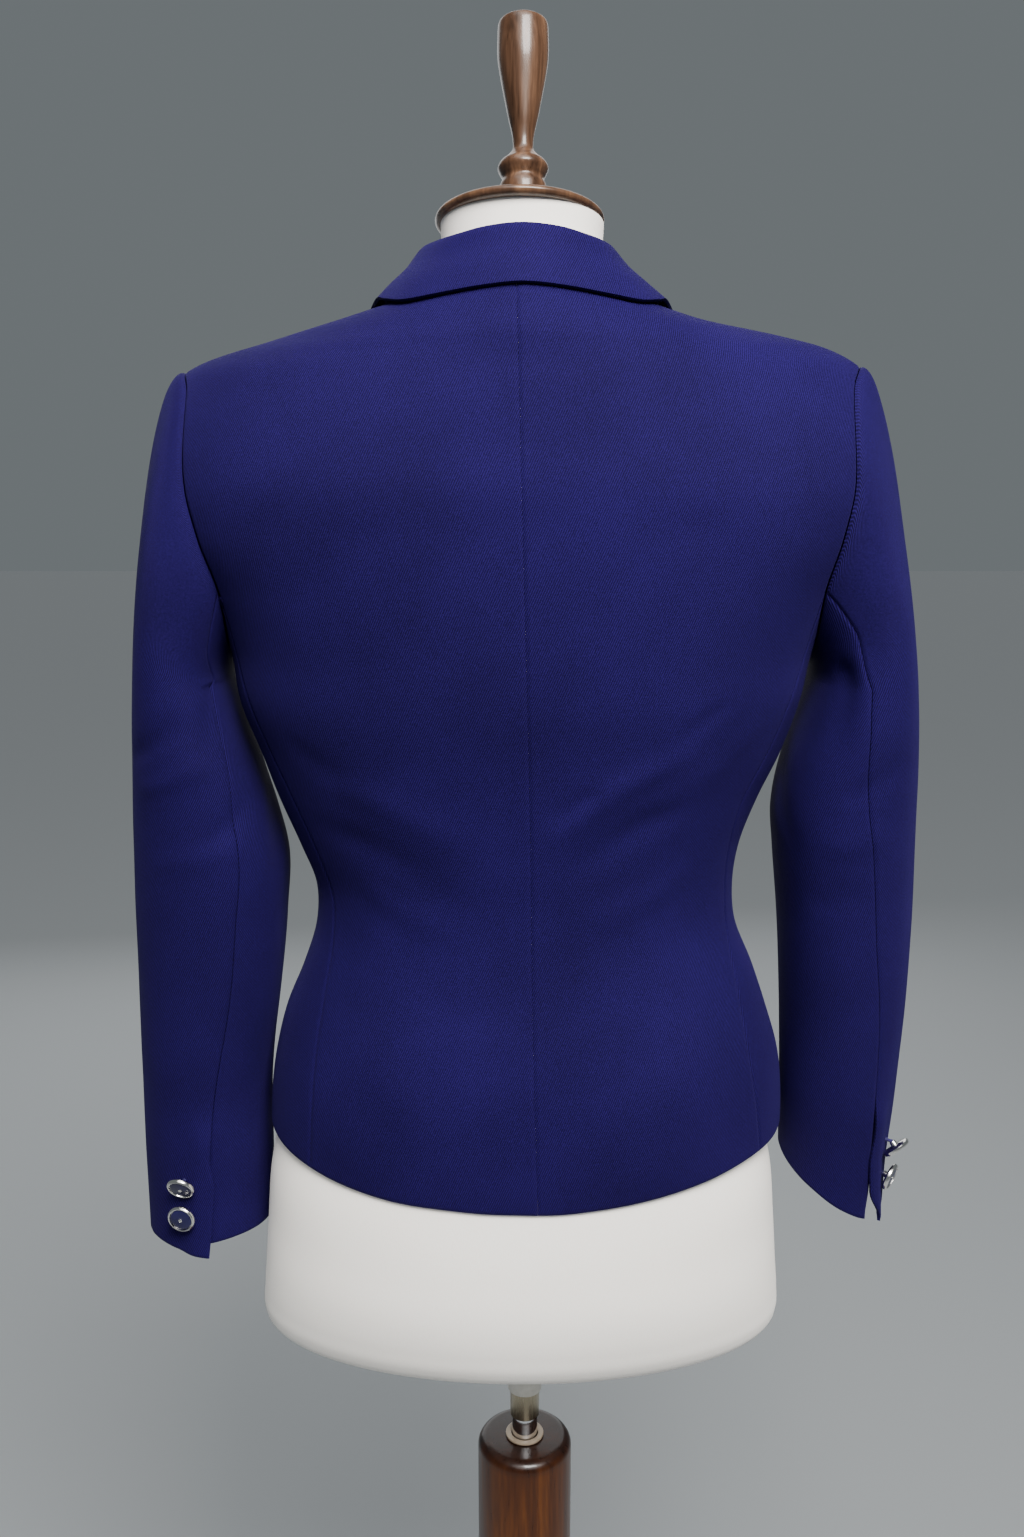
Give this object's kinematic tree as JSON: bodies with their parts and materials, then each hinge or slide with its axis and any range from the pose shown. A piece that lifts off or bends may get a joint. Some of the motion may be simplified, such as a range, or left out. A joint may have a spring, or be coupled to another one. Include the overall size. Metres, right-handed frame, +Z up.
{
  "type": "cropped blazer on a limbless dress form with a stand",
  "caption": "Cropped royal-blue twill blazer with notch lapels and flared vented cuffs on a cream dress form over a turned wood stand.",
  "frame": {"origin": "middle of the model's bounding box in X and Y, on the floor under the base", "axes": "+Z up; -Y is the wearer's front, where the lapels are; +Y the back, which the picture shows; +X the wearer's left"},
  "size_m": [0.5133, 0.38, 1.5988],
  "materials": {
    "wool_twill": "royal-blue worsted twill, fine diagonal rib, slight sheen",
    "ivory_jersey": "cream-white jersey stretched smooth over the form",
    "walnut": "turned walnut, clear gloss varnish",
    "brown_wood": "turned wood stained red-brown, gloss lacquer",
    "white_nylon": "moulded white nylon, satin",
    "brushed_steel": "brushed along its length",
    "chrome": "bright plated tube",
    "silver_metal": "polished silver-coloured button rim",
    "navy_enamel": "navy enamel button centre, plain"
  },
  "bodies": {
    "stand": {"base": "brown_wood", "post": "brown_wood", "post_ring": "white_nylon", "inner_tube": "chrome"},
    "pole": {"outer_tube": "brushed_steel"},
    "form": {"torso": "ivory_jersey", "bush": "white_nylon", "neck_cap": "walnut", "neck_knob": "walnut", "back_left": "wool_twill", "back_right": "wool_twill", "side_panel_left": "wool_twill", "side_panel_right": "wool_twill", "front_left": "wool_twill", "front_right": "wool_twill", "lapel_left": "wool_twill", "lapel_right": "wool_twill", "collar": "wool_twill", "pocket_flap_left": "wool_twill", "pocket_flap_right": "wool_twill", "upper_sleeve_left": "wool_twill", "upper_sleeve_right": "wool_twill", "under_sleeve_left": "wool_twill", "under_sleeve_right": "wool_twill", "cuff_button_left_upper_rim": "silver_metal", "cuff_button_left_upper_face": "navy_enamel", "cuff_button_left_lower_rim": "silver_metal", "cuff_button_left_lower_face": "navy_enamel", "cuff_button_right_upper_rim": "silver_metal", "cuff_button_right_upper_face": "navy_enamel", "cuff_button_right_lower_rim": "silver_metal", "cuff_button_right_lower_face": "navy_enamel", "front_button_upper_rim": "silver_metal", "front_button_upper_face": "navy_enamel", "front_button_lower_rim": "silver_metal", "front_button_lower_face": "navy_enamel"}
  },
  "joints": [
    {"name": "height", "type": "slide", "parent": "stand", "child": "pole", "axis": [0, 0, 1], "range_m": [-0.008, 0.15]},
    {"name": "swivel", "type": "hinge", "parent": "pole", "child": "form", "pos_m": [-0.003, 0, 0.8], "axis": [0, 0, 1], "continuous": true}
  ]
}
